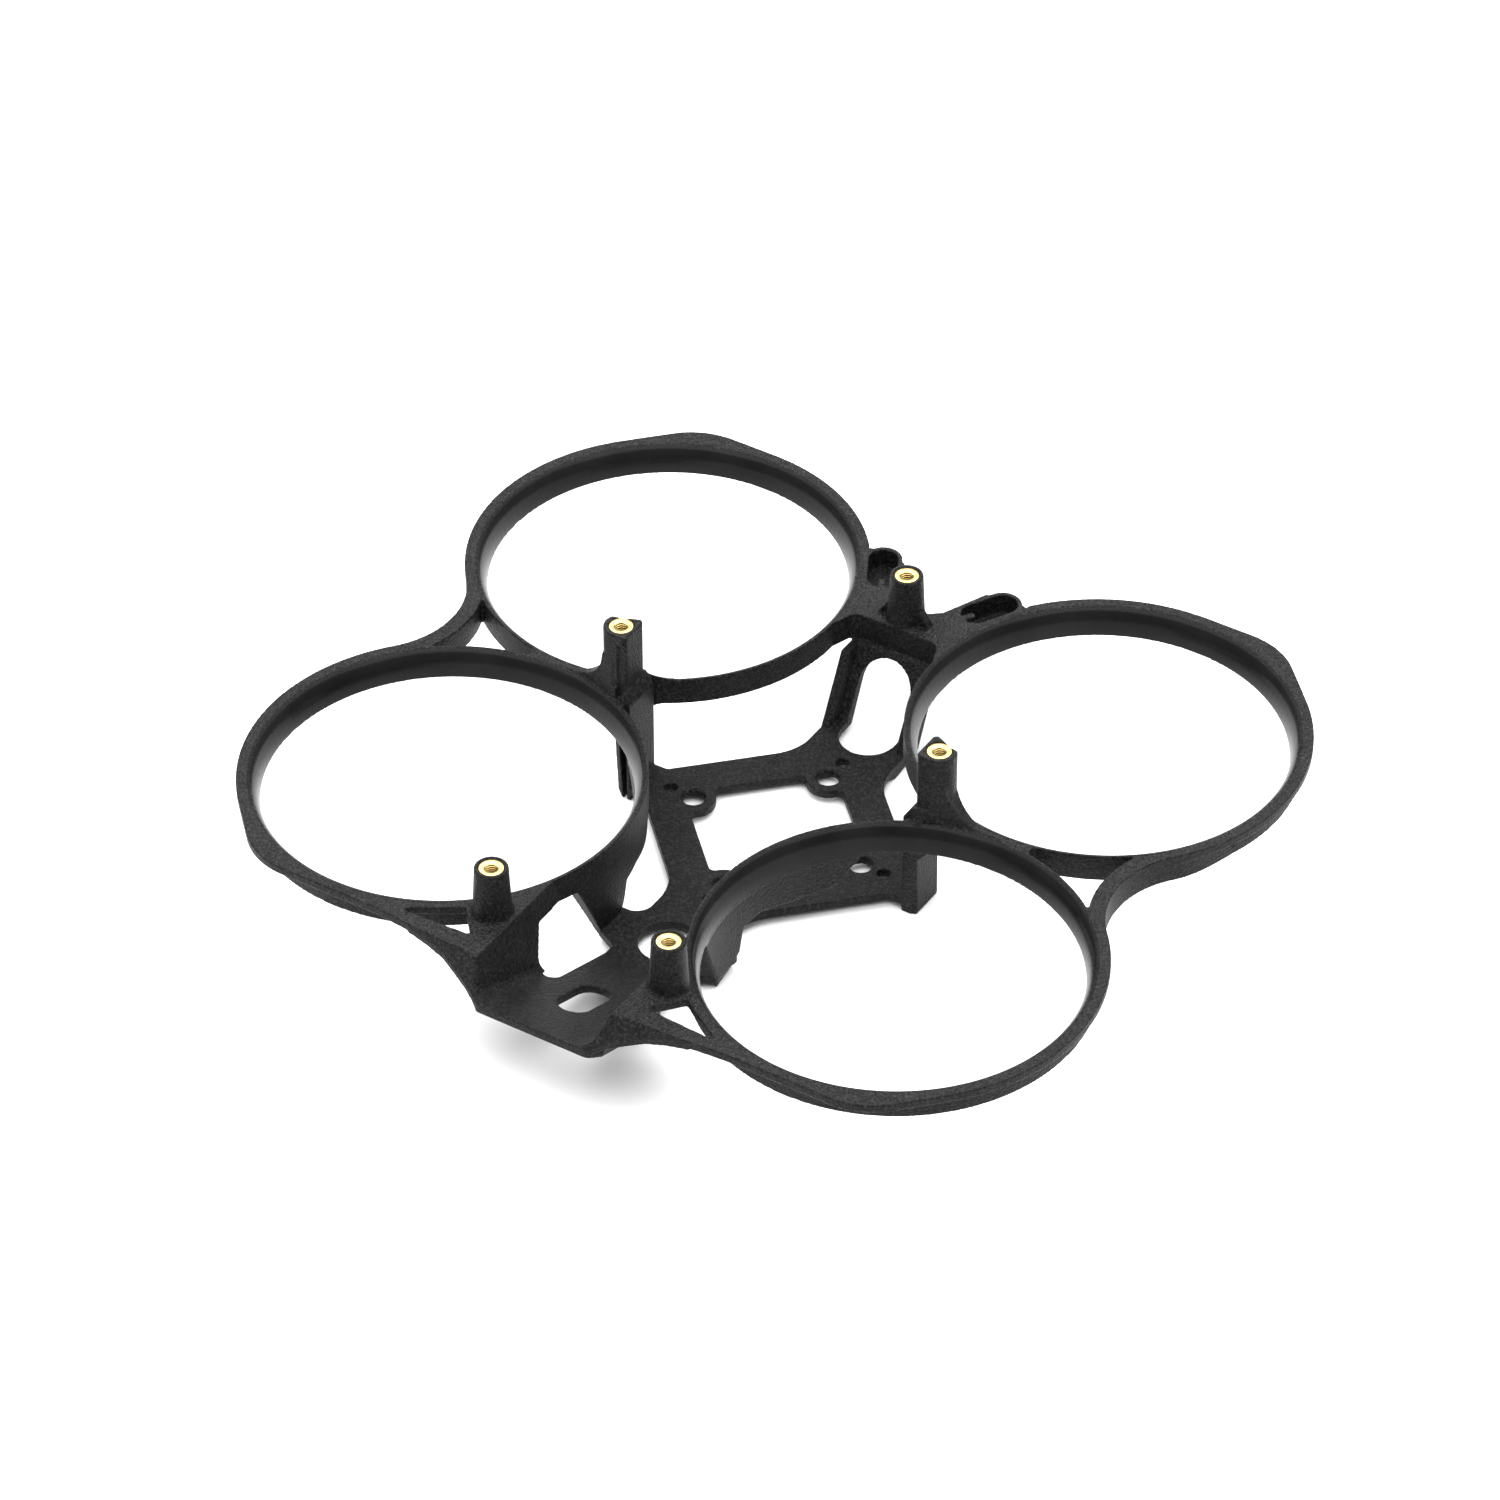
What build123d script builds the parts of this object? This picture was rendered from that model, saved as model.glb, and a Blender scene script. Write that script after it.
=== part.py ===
from build123d import *
import math
import os

# Bare whoop-type drone frame: one plastic moulding, split at its natural
# lines into named regions, and five brass threaded inserts.
# Millimetres. +X is the drone's right side, +Y its nose, +Z up.
# Z = 0 is the surface that the feet stand on, and the origin is under the
# middle of the bounding box.

# ---- layout seen from above, measured from the thrust centre ----
DUCT_X = 37.0              # half the side-to-side pitch of the duct centres
DUCT_Y = 29.0              # half the fore-and-aft pitch of the duct centres
NOSE_Y = 63.6              # front edge of the camera ramp
FLANGE_R = 29.9            # outer radius of the rim flange
THRUST_Y = (DUCT_Y + FLANGE_R - NOSE_Y) / 2

# ---- heights above the feet ----
DECK_BASE = 1.0
DECK_TOP = 2.4
DUCT_BASE = 13.05
FLANGE_BASE = 16.0
RIM_TOP = 17.4
POST_TOP = 25.5
MID_POST_TOP = 28.5

# ---- ducts ----
THROAT_R = 26.6            # bore at the lower edge, for two-inch propellers
WALL_R = 28.65             # outside of the duct wall
CORNER_LOW = 44.0          # directions of the two flats that meet in each
CORNER_HIGH = 90.0         # flange corner, degrees from the sideways axis
CORNER_FILLET = 11.6
WEB_FILLET = 14.5          # concave outline between front and rear flanges
WEB_STRIP = 2.5
FRONT_FLANGE_END = 90.0
REAR_FLANGE_END = 142.0

# ---- electronics deck ----
DECK_HALF = 24.1           # half diagonal of the diamond
WINDOW_HALF = 15.9
STACK_LARGE = 20.0         # square hole pattern for M3 grommets
STACK_SMALL = 25.5         # square hole pattern for M2 screws
LARGE_HOLE_R = 1.6
LARGE_SINK_R = 1.9
LARGE_SINK_DEPTH = 0.3
SMALL_HOLE_R = 1.0
LUG_R = 3.3
NOSE_HOLE_R = 4.25
NOSE_HOLE_Y = 28.9
SLOT_HALF = 4.3            # lead slot that runs from the deck up the rear wall
SLOT_FRONT_Y = -20.9
DECK_FRONT_Y = 35.4
DECK_REAR_Y = -26.3

# ---- mid posts ----
LEG_IN_X = 22.9
LEG_HALF_Y = 3.3
# outer face of each leg from the duct's foot down, as x and z
RIGHT_LEG_FACE = [(26.4, DUCT_BASE), (26.4, 11.2), (25.95, 10.5), (25.25, 1.0), (24.25, 0)]
LEFT_LEG_FACE = [(26.4, DUCT_BASE), (26.4, 11.2), (25.1, 9.8), (25.3, 0)]
# channel in the right leg, open to the front and below
LEG_CHANNEL = [(24.9, 10.8), (24.1, 0), (23.6, 0), (23.6, 10.8)]
LEG_CHANNEL_DEPTH = 5.4
POST_X = 26.5
POST_Y = -0.4
POST_IN_X = 24.2
MID_POST_R = 2.6
POST_CORNER = 0.45
WEB_TIP_X = 42.3
WEB_TIP_R = 1.0            # hollow in the web's pointed end
WEB_TIP_BACK = 0.5
GROOVE_X = 24.9            # upright groove in the right post's forward corner
GROOVE_Y = 2.9
GROOVE_WIDTH = 1.3
GROOVE_DEPTH = 2.0
GROOVE_TOP = MID_POST_TOP - 1.5

# ---- nose ----
NOSE_POST_X = 14.5
NOSE_POST_Y = 51.0
RAMP_HALF = 9.0
RAMP_NECK_HALF = 6.2
RAMP_LIP_TOP = 12.25
CHEEK_TOP_X = 11.0
CHEEK_T = 1.3
VIEW_SLOT_Y = 50.3
VIEW_SLOT_LENGTH = 9.6
VIEW_SLOT_WIDTH = 4.8

# ---- rear bridge ----
REAR_POST_Y = -35.5
BRIDGE_FRONT_Y = -32.7
BRIDGE_HALF = 7.0          # half width of its straight front edge and of the wall below
POCKET_R = 2.15
POCKET_WALL = 0.7
POCKET_IN = (8.0, -41.9)
POCKET_OUT = (10.2, -45.9)
POCKET_FLOOR = 14.05
TAB_WIDTH = 1.1
TAB_LENGTH = 2.0
TAB_T = 0.8

# ---- posts and inserts ----
BOSS_TOP_R = 2.45
BOSS_BASE_R = 2.8
BOSS_EDGE = 0.2
BOSS_ROOT = 0.5
HOLLOW_CLEAR = 0.4         # how far the bridge's hollow reaches in under the post
INSERT_R = 1.75
INSERT_LENGTH = 4.0
THREAD_R = 0.8
THREAD_LEAD_IN = 0.2
BORE_SINK_R = 1.95
BORE_SINK_DEPTH = 0.15
BORE_DEPTH = BORE_SINK_DEPTH + INSERT_LENGTH

FRONT_DUCT = (DUCT_X, DUCT_Y)
REAR_DUCT = (DUCT_X, -DUCT_Y)


def level(z):
    """Horizontal plane at height z with its origin on the thrust axis."""
    return Plane(origin=(0, THRUST_Y, z), x_dir=(1, 0, 0), z_dir=(0, 0, 1))


def side_plane(x):
    """Upright plane facing +X: local x runs forward, local y runs up."""
    return Plane(origin=(x, THRUST_Y, 0), x_dir=(0, 1, 0), z_dir=(1, 0, 0))


def cross_plane(y):
    """Upright plane facing the tail: local x runs right, local y runs up."""
    return Plane(origin=(0, THRUST_Y + y, 0), x_dir=(1, 0, 0), z_dir=(0, -1, 0))


FORE_AFT_MIRROR = Plane(origin=(0, THRUST_Y, 0), x_dir=(1, 0, 0), z_dir=(0, 1, 0))


def polar(centre, radius, degrees):
    """Point at a radius and direction from a centre."""
    turn = math.radians(degrees)
    return (centre[0] + radius * math.cos(turn), centre[1] + radius * math.sin(turn))


def sector(centre, start, end, reach=45.0, steps=6):
    """Corners of a pie slice between two directions."""
    turns = [start + (end - start) * i / steps for i in range(steps + 1)]
    return [centre] + [polar(centre, reach, turn) for turn in turns]


WEB_CENTRE = (DUCT_X + math.sqrt((FLANGE_R + WEB_FILLET) ** 2 - DUCT_Y ** 2), 0)
WEB_ANGLE = -math.degrees(math.atan2(DUCT_Y, WEB_CENTRE[0] - DUCT_X))


def right_front_duct(flange_end):
    """Duct wall with its bell mouth, and the flange round its outer side."""
    axis_y = THRUST_Y + DUCT_Y
    section = Plane(origin=(DUCT_X, axis_y, 0), x_dir=(1, 0, 0), z_dir=(0, -1, 0))
    corner_mid = (CORNER_LOW + CORNER_HIGH) / 2
    corner_half = math.radians(CORNER_HIGH - CORNER_LOW) / 2
    corner_reach = FLANGE_R / math.cos(corner_half)
    with BuildPart() as duct:
        with BuildSketch(section):
            with BuildLine():
                EllipticalCenterArc(
                    (WALL_R, DUCT_BASE),
                    WALL_R - THROAT_R,
                    RIM_TOP - DUCT_BASE,
                    start_angle=90,
                    arc_size=90,
                )
                Line((WALL_R, RIM_TOP), (WALL_R, DUCT_BASE))
                Line((WALL_R, DUCT_BASE), (THROAT_R, DUCT_BASE))
            make_face()
        revolve(axis=Axis((DUCT_X, axis_y, 0), (0, 0, 1)))
        with BuildSketch(level(FLANGE_BASE)):
            with BuildLine():
                corner = [
                    polar(FRONT_DUCT, FLANGE_R, CORNER_LOW),
                    polar(FRONT_DUCT, corner_reach, corner_mid),
                    polar(FRONT_DUCT, FLANGE_R, CORNER_HIGH),
                ]
                FilletPolyline(*corner, radius=CORNER_FILLET)
                Polyline(corner[2], FRONT_DUCT, corner[0])
            make_face()
            with Locations(FRONT_DUCT):
                Circle(FLANGE_R)
                Circle(WALL_R, mode=Mode.SUBTRACT)
            with BuildLine():
                Polyline(*sector(FRONT_DUCT, WEB_ANGLE, flange_end), close=True)
            make_face(mode=Mode.INTERSECT)
        extrude(amount=RIM_TOP - FLANGE_BASE)
    return duct.part


def boss():
    """Tapered round post with a filleted root, bored for an insert, on the local Z axis."""
    with BuildPart() as post:
        with BuildSketch(Plane.XZ):
            with BuildLine():
                root = (BOSS_BASE_R + BOSS_ROOT, RIM_TOP)
                shoulder = (BOSS_BASE_R, RIM_TOP + BOSS_ROOT)
                rim = (BOSS_TOP_R, POST_TOP - BOSS_EDGE)
                face = (BOSS_TOP_R - BOSS_EDGE, POST_TOP)
                Polyline((0, POST_TOP), (0, RIM_TOP), root)
                RadiusArc(root, shoulder, BOSS_ROOT)
                Line(shoulder, rim)
                RadiusArc(rim, face, -BOSS_EDGE)
                Line(face, (0, POST_TOP))
            make_face()
        revolve(axis=Axis.Z)
        with Locations((0, 0, POST_TOP)):
            CounterBoreHole(INSERT_R, BORE_SINK_R, BORE_SINK_DEPTH, depth=BORE_DEPTH)
    return post.part


def insert(top):
    """Brass insert with its face at height top."""
    with BuildPart() as body:
        with BuildSketch(Plane.XY.offset(top - INSERT_LENGTH)):
            Circle(INSERT_R)
            Circle(THREAD_R, mode=Mode.SUBTRACT)
        extrude(amount=INSERT_LENGTH)
        lead_in = body.faces().sort_by(Axis.Z)[-1].edges().sort_by(SortBy.LENGTH)[0]
        chamfer(lead_in, THREAD_LEAD_IN)
    return body.part


# ---------------------------------------------------------------- ducts
with BuildPart() as front_right_duct:
    add(right_front_duct(FRONT_FLANGE_END))
with BuildPart() as front_left_duct:
    mirror(front_right_duct.part, about=Plane.YZ)
with BuildPart() as rear_right_duct:
    mirror(right_front_duct(REAR_FLANGE_END), about=FORE_AFT_MIRROR)
with BuildPart() as rear_left_duct:
    mirror(rear_right_duct.part, about=Plane.YZ)

# ---------------------------------------------------------------- outer side webs
TAPER_TURN = 24.0          # how far the web's foot runs on along the duct, in degrees
with BuildPart() as right_side_web:
    with BuildSketch(level(DUCT_BASE)):
        with BuildLine():
            Polyline(
                FRONT_DUCT,
                polar(FRONT_DUCT, FLANGE_R, WEB_ANGLE),
                polar(REAR_DUCT, FLANGE_R, -WEB_ANGLE),
                REAR_DUCT,
                close=True,
            )
        make_face()
        with Locations(WEB_CENTRE):
            Circle(WEB_FILLET + WEB_STRIP, mode=Mode.INTERSECT)
            Circle(WEB_FILLET, mode=Mode.SUBTRACT)
        with Locations(FRONT_DUCT, REAR_DUCT):
            Circle(WALL_R, mode=Mode.SUBTRACT)
    extrude(amount=RIM_TOP - DUCT_BASE)
    with BuildSketch(level(DUCT_BASE)):
        taper_end = WEB_ANGLE + TAPER_TURN
        outer = polar(FRONT_DUCT, FLANGE_R, WEB_ANGLE)
        inner = polar(FRONT_DUCT, WALL_R - 0.05, taper_end)
        with BuildLine():
            Spline(
                outer,
                inner,
                tangents=[polar((0, 0), 1, WEB_ANGLE + 90), polar((0, 0), 1, taper_end + 90)],
            )
            Polyline(inner, FRONT_DUCT, outer)
        make_face()
        mirror(about=Plane.XZ)
        with Locations(FRONT_DUCT, REAR_DUCT):
            Circle(WALL_R, mode=Mode.SUBTRACT)
    extrude(amount=FLANGE_BASE - DUCT_BASE)
with BuildPart() as left_side_web:
    mirror(right_side_web.part, about=Plane.YZ)

# ---------------------------------------------------------------- mid posts and legs
MID_SPAN = LEG_HALF_Y * 2
ROOT_FILLET = 6.3
ROOT_START_X = POST_X + MID_POST_R - 0.4
INNER_STEP = 2.0
FLARE = 2.9
FLARE_T = 0.65
CROTCH = 1.6
CROTCH_T = 1.65
RAMP_OVERLAP = 0.8         # how far a ramp reaches into the column
RAMP_BEND = 0.31           # how far an arc stays out of its corner, as a share of its legs


def lip_ramps(z, rise, thickness, ends):
    """Concave ramps that follow the duct walls away from the column's inner edges.

    Each end is the column face's y, the direction that it faces, and the ramp's length."""
    low, high = sorted((z, z + rise))
    with BuildPart() as ramps:
        with BuildSketch(level(low)):
            with Locations(FRONT_DUCT, REAR_DUCT):
                Circle(WALL_R)
                Circle(WALL_R - thickness, mode=Mode.SUBTRACT)
        extrude(amount=high - low)
        with BuildSketch(side_plane(LEG_IN_X - 2 * FLARE)):
            for y, side, run in ends:
                toe = (y + side * run, z)
                heel = (y, z + rise)
                bend = (y + side * run * RAMP_BEND, z + rise * RAMP_BEND)
                inside = y - side * RAMP_OVERLAP
                with BuildLine():
                    ThreePointArc(toe, bend, heel)
                    Polyline(heel, (inside, z + rise), (inside, z), toe)
                make_face()
        extrude(amount=3 * FLARE, mode=Mode.INTERSECT)
    return ramps.part


def mid_post(groove):
    """Column between two ducts: a leg, the web between the walls and a post."""
    with BuildPart() as post:
        with BuildSketch(cross_plane(LEG_HALF_Y)):
            face = RIGHT_LEG_FACE if groove else LEFT_LEG_FACE
            with BuildLine():
                Polyline((LEG_IN_X, 0), (LEG_IN_X, DUCT_BASE), *face, close=True)
            make_face()
        extrude(amount=MID_SPAN)
        with BuildSketch(level(DUCT_BASE)):
            with Locations(((LEG_IN_X + WEB_TIP_X) / 2, 0)):
                Rectangle(WEB_TIP_X - LEG_IN_X, MID_SPAN)
            with Locations((WEB_TIP_X + WEB_TIP_BACK, 0)):
                Circle(WEB_TIP_R, mode=Mode.SUBTRACT)
        extrude(amount=RIM_TOP - DUCT_BASE)
        with BuildSketch(level(RIM_TOP)):
            front = POST_Y + MID_POST_R
            rear = POST_Y - MID_POST_R
            with BuildLine():
                ThreePointArc((POST_X, rear), (POST_X + MID_POST_R, POST_Y), (POST_X, front))
                Polyline(
                    (POST_X, front),
                    (POST_IN_X + POST_CORNER, front),
                    (POST_IN_X, front - POST_CORNER),
                    (POST_IN_X, rear + POST_CORNER),
                    (POST_IN_X + POST_CORNER, rear),
                    (POST_X, rear),
                )
            make_face()
        extrude(amount=MID_POST_TOP - RIM_TOP)
        with BuildSketch(cross_plane(LEG_HALF_Y)):
            root = (ROOT_START_X + ROOT_FILLET, RIM_TOP)
            shoulder = (ROOT_START_X, RIM_TOP + ROOT_FILLET)
            with BuildLine():
                RadiusArc(root, shoulder, ROOT_FILLET)
                Polyline(shoulder, (POST_X, RIM_TOP + ROOT_FILLET), (POST_X, RIM_TOP), root)
            make_face()
            with BuildLine():
                Polyline(
                    (POST_X, RIM_TOP),
                    (LEG_IN_X, RIM_TOP),
                    (POST_IN_X, RIM_TOP + INNER_STEP),
                    (POST_X, RIM_TOP + INNER_STEP),
                    close=True,
                )
            make_face()
        extrude(amount=MID_SPAN)
        with BuildSketch(level(0)):
            with Locations(FRONT_DUCT, REAR_DUCT):
                Circle(WALL_R)
        extrude(amount=MID_POST_TOP, mode=Mode.SUBTRACT)
        ends = [(rear, -1, FLARE)]
        if not groove:
            ends.append((front, 1, FLARE / 2))
        add(lip_ramps(RIM_TOP, FLARE, FLARE_T, ends))
        ends = [(LEG_HALF_Y, 1, CROTCH), (-LEG_HALF_Y, -1, CROTCH)]
        add(lip_ramps(DUCT_BASE, -CROTCH, CROTCH_T, ends))
        if groove:
            with BuildSketch(level(RIM_TOP)):
                with Locations((GROOVE_X, GROOVE_Y)):
                    Rectangle(GROOVE_WIDTH, GROOVE_DEPTH)
            extrude(amount=GROOVE_TOP - RIM_TOP, mode=Mode.SUBTRACT)
            with BuildSketch(cross_plane(LEG_HALF_Y)):
                with BuildLine():
                    Polyline(*LEG_CHANNEL, close=True)
                make_face()
            extrude(amount=LEG_CHANNEL_DEPTH, mode=Mode.SUBTRACT)
        with Locations((POST_X, THRUST_Y + POST_Y, MID_POST_TOP)):
            CounterBoreHole(INSERT_R, BORE_SINK_R, BORE_SINK_DEPTH, depth=BORE_DEPTH)
    return post.part


with BuildPart() as right_mid_post:
    add(mid_post(groove=True))
with BuildPart() as left_mid_post:
    mirror(mid_post(groove=False), about=Plane.YZ)

# ---------------------------------------------------------------- electronics deck
LARGE_RING = STACK_LARGE / math.sqrt(2)
SMALL_RING = STACK_SMALL / math.sqrt(2)
NECK = [
    (RAMP_NECK_HALF, DECK_FRONT_Y),
    (RAMP_NECK_HALF, 33.6),
    (10.2, 31.5),
    (10.2, 25.95),
    (6.2, 25.95),
    (6.2, 18.1),
    (LEG_IN_X - 2.1, LEG_HALF_Y),
    (LEG_IN_X, LEG_HALF_Y),
]
NECK_RADII = [1.2, 0.3, 0.2, 2.5, 8.0, 1.0]
TAIL = [
    (LEG_IN_X, -LEG_HALF_Y),
    (LEG_IN_X - 2.1, -LEG_HALF_Y),
    (7.0, -17.1),
    (7.0, DECK_REAR_Y),
]
TAIL_RADII = [1.0, 8.0]
WINDOW_FILLET = 0.9
DECK_CUT_R = 27.4          # where the deck ends inside the front struts

with BuildPart() as electronics_deck:
    with BuildSketch(level(DECK_BASE)):
        with BuildLine():
            FilletPolyline(*NECK, radius=NECK_RADII)
            Line(NECK[-1], TAIL[0])
            FilletPolyline(*TAIL, radius=TAIL_RADII)
            Line(TAIL[-1], (0, DECK_REAR_Y))
            Line((0, DECK_FRONT_Y), NECK[0])
            mirror(about=Plane.YZ)
        make_face()
        with Locations(FRONT_DUCT, (-DUCT_X, DUCT_Y)):
            Circle(DECK_CUT_R, mode=Mode.SUBTRACT)
    extrude(amount=DECK_TOP - DECK_BASE)
    with BuildSketch(level(DECK_BASE)):
        Rectangle(WINDOW_HALF * math.sqrt(2), WINDOW_HALF * math.sqrt(2), rotation=45)
        with PolarLocations(LARGE_RING, 4):
            Circle(LUG_R, mode=Mode.SUBTRACT)
        fillet(vertices(), WINDOW_FILLET)
        with Locations((0, SLOT_FRONT_Y - SLOT_HALF)):
            Circle(SLOT_HALF)
        with Locations((0, DECK_REAR_Y)):
            Rectangle(2 * SLOT_HALF, 2 * (SLOT_FRONT_Y - SLOT_HALF - DECK_REAR_Y))
    extrude(amount=DECK_TOP - DECK_BASE, mode=Mode.SUBTRACT)
    with BuildSketch(level(DECK_BASE)):
        with PolarLocations(LARGE_RING, 4):
            Circle(LARGE_HOLE_R)
        with PolarLocations(SMALL_RING, 4):
            Circle(SMALL_HOLE_R)
        with Locations((0, NOSE_HOLE_Y)):
            Circle(NOSE_HOLE_R)
    extrude(amount=DECK_TOP - DECK_BASE, mode=Mode.SUBTRACT)
    with BuildSketch(level(DECK_TOP)):
        with PolarLocations(LARGE_RING, 4):
            Circle(LARGE_SINK_R)
    extrude(amount=-LARGE_SINK_DEPTH, mode=Mode.SUBTRACT)

# ---------------------------------------------------------------- front struts
STRUT_OUT_R = 27.9         # radii at the foot; at the top they are the duct wall's own
STRUT_IN_R = 26.8
STRUT_BEVEL = 2.3
STRUT_EDGE = 0.4
STRUT_SIDE = [
    (37.4, DUCT_BASE),
    (36.8, 12.4),
    (32.1, DECK_TOP),
    (31.2, 0),
    (30.6, 0),
    (27.4, 2.2),
    (26.3, 3.3),
    (25.4, 7.4),
    (22.0, 7.9),
    (17.2, 7.0),
    (12.1, 7.4),
    (11.0, 7.9),
    (8.5, DUCT_BASE),
]
with BuildPart() as front_right_strut:
    on_foot = (Align.CENTER, Align.CENTER, Align.MIN)
    with Locations((DUCT_X, THRUST_Y + DUCT_Y, 0)):
        Cone(STRUT_OUT_R, WALL_R, DUCT_BASE, align=on_foot)
        Cone(STRUT_IN_R, THROAT_R, DUCT_BASE, align=on_foot, mode=Mode.SUBTRACT)
        Cone(
            STRUT_OUT_R - STRUT_EDGE,
            STRUT_IN_R,
            STRUT_BEVEL,
            align=on_foot,
            mode=Mode.SUBTRACT,
        )
    with BuildSketch(side_plane(0)):
        with BuildLine():
            Polyline(*STRUT_SIDE, close=True)
        make_face()
    extrude(amount=DUCT_X, mode=Mode.INTERSECT)
    add(electronics_deck.part, mode=Mode.SUBTRACT)
with BuildPart() as front_left_strut:
    mirror(front_right_strut.part, about=Plane.YZ)

# ---------------------------------------------------------------- front webs
NOSE_EDGE = [(DUCT_X, DUCT_Y + FLANGE_R), (27.4, 59.0), (19.6, 59.6), (13.3, 59.7), (11.6, 60.2)]
WEB_REAR_Y = 38.0
WEB_REAR_X = 13.0
WINDOW = [(14.4, 56.6), (18.2, 52.2), (26.0, 57.2)]
WINDOW_CORNER = 0.35
with BuildPart() as front_right_web:
    with BuildSketch(level(FLANGE_BASE)):
        with BuildLine():
            Spline(*NOSE_EDGE, tangents=[(-1, 0), (-1, 0.8)])
            Polyline(
                NOSE_EDGE[-1],
                (CHEEK_TOP_X, NOSE_EDGE[-1][1]),
                (CHEEK_TOP_X, WEB_REAR_Y),
                (WEB_REAR_X, WEB_REAR_Y),
                FRONT_DUCT,
                NOSE_EDGE[0],
            )
        make_face()
        with Locations(FRONT_DUCT):
            Circle(WALL_R, mode=Mode.SUBTRACT)
    extrude(amount=RIM_TOP - FLANGE_BASE)
    with BuildSketch(level(FLANGE_BASE)):
        with BuildLine():
            Polyline(*WINDOW, close=True)
        make_face()
        with Locations(FRONT_DUCT):
            Circle(FLANGE_R - 0.1, mode=Mode.SUBTRACT)
        fillet(vertices(), WINDOW_CORNER)
    extrude(amount=RIM_TOP - FLANGE_BASE, mode=Mode.SUBTRACT)
with BuildPart() as front_left_web:
    mirror(front_right_web.part, about=Plane.YZ)

# ---------------------------------------------------------------- camera cradle
RAMP_RISE = (RAMP_LIP_TOP - DECK_TOP) / (NOSE_Y - DECK_FRONT_Y)
RAMP_T = DECK_TOP - DECK_BASE


def ramp_top(y):
    """Height of the ramp's upper surface."""
    return DECK_TOP + RAMP_RISE * (y - DECK_FRONT_Y)


def cheek_section(y):
    """Corners of a side wall's section, leaning outward to the web's top."""
    foot = ramp_top(y)
    return [
        (RAMP_HALF, foot),
        (CHEEK_TOP_X, RIM_TOP),
        (CHEEK_TOP_X, FLANGE_BASE),
        (CHEEK_TOP_X + CHEEK_T, FLANGE_BASE),
        (RAMP_HALF + CHEEK_T, foot - RAMP_T),
        (RAMP_HALF, foot - RAMP_T),
    ]


def cheek_fillet(y, leg):
    """Start, middle and end of the hollow between the ramp and a side wall, and their corner."""
    foot = ramp_top(y)
    lean = math.atan2(CHEEK_TOP_X - RAMP_HALF, RIM_TOP - foot)
    half_angle = (math.pi / 2 + lean) / 2
    middle = leg / math.cos(half_angle) - leg * math.tan(half_angle)
    return (
        (RAMP_HALF - leg, foot),
        (RAMP_HALF + middle * math.sin(lean - half_angle), foot + middle * math.cos(lean - half_angle)),
        (RAMP_HALF + leg * math.sin(lean), foot + leg * math.cos(lean)),
        (RAMP_HALF, foot),
    )


CHEEK_REAR_Y = 39.0
SIDE_WINDOW = [(30, 0), (46.9, 2), (47.4, 8.4), (45.6, 13.4), (30, 13.4)]
LIP_OUT_X = 9.6
CHEEK_FRONT_Y = 61.0
CHEEK_END_Y = 61.6
FILLET_REAR = (46.0, 1.2)  # y, and how far the hollow reaches from its corner
FILLET_FRONT = (NOSE_Y, 2.8)
WEB_FRONT_Y = 60.2
FASCIA_T = 1.3
FASCIA_EDGE = 1.1
# along the fascia: x, then y at its top and foot, then z at its top and foot
FASCIA = [
    (9.2, 63.3, 63.5, RAMP_LIP_TOP, 11.2),
    (10.3, 62.1, 62.9, 14.4, 12.0),
    (11.6, WEB_FRONT_Y, 62.3, RIM_TOP, 12.7),
    (13.9, 59.7, 61.4, RIM_TOP, 13.6),
    (16.6, 59.65, 60.4, RIM_TOP, 14.6),
    (19.6, 59.6, 59.9, RIM_TOP, 15.3),
    (23.0, 59.35, 59.45, RIM_TOP, 15.8),
]


def fascia_section(y_top, y_foot, z_top, z_foot):
    """Corners of the fascia's section: a sloped face over an upright lower edge."""
    return [
        (y_top, z_top),
        (y_foot, min(z_foot + FASCIA_EDGE, z_top - 0.1)),
        (y_foot, z_foot),
        (y_foot - FASCIA_T, z_foot),
        (y_top - FASCIA_T, z_top),
    ]


def right_cheek():
    """Side wall and front fascia on the right of the camera ramp."""
    with BuildPart() as cheek:
        for y in (CHEEK_REAR_Y, CHEEK_END_Y):
            with BuildSketch(cross_plane(y)):
                with BuildLine():
                    Polyline(*cheek_section(y), close=True)
                make_face()
        loft(ruled=True)
        for y, leg in (FILLET_REAR, FILLET_FRONT):
            toe, middle, top, corner = cheek_fillet(y, leg)
            with BuildSketch(cross_plane(y)):
                with BuildLine():
                    ThreePointArc(toe, middle, top)
                    Polyline(top, corner, toe)
                make_face()
        loft(ruled=True)
        with BuildSketch(side_plane(0)):
            with BuildLine():
                Polyline(*SIDE_WINDOW, close=True)
            make_face()
            with BuildLine():
                Polyline(
                    (WEB_FRONT_Y, RIM_TOP),
                    (CHEEK_FRONT_Y, FLANGE_BASE),
                    (NOSE_Y, RAMP_LIP_TOP),
                    (NOSE_Y, RIM_TOP),
                    close=True,
                )
            make_face()
        extrude(amount=2 * RAMP_HALF, mode=Mode.SUBTRACT)
        for x, y_top, y_foot, z_top, z_foot in FASCIA:
            with BuildSketch(side_plane(x)):
                with BuildLine():
                    Polyline(*fascia_section(y_top, y_foot, z_top, z_foot), close=True)
                make_face()
        loft(ruled=True)
        with BuildSketch(level(0)):
            with Locations(FRONT_DUCT):
                Circle(WALL_R)
        extrude(amount=RIM_TOP, mode=Mode.SUBTRACT)
        add(front_right_web.part, mode=Mode.SUBTRACT)
    return cheek.part


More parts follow.
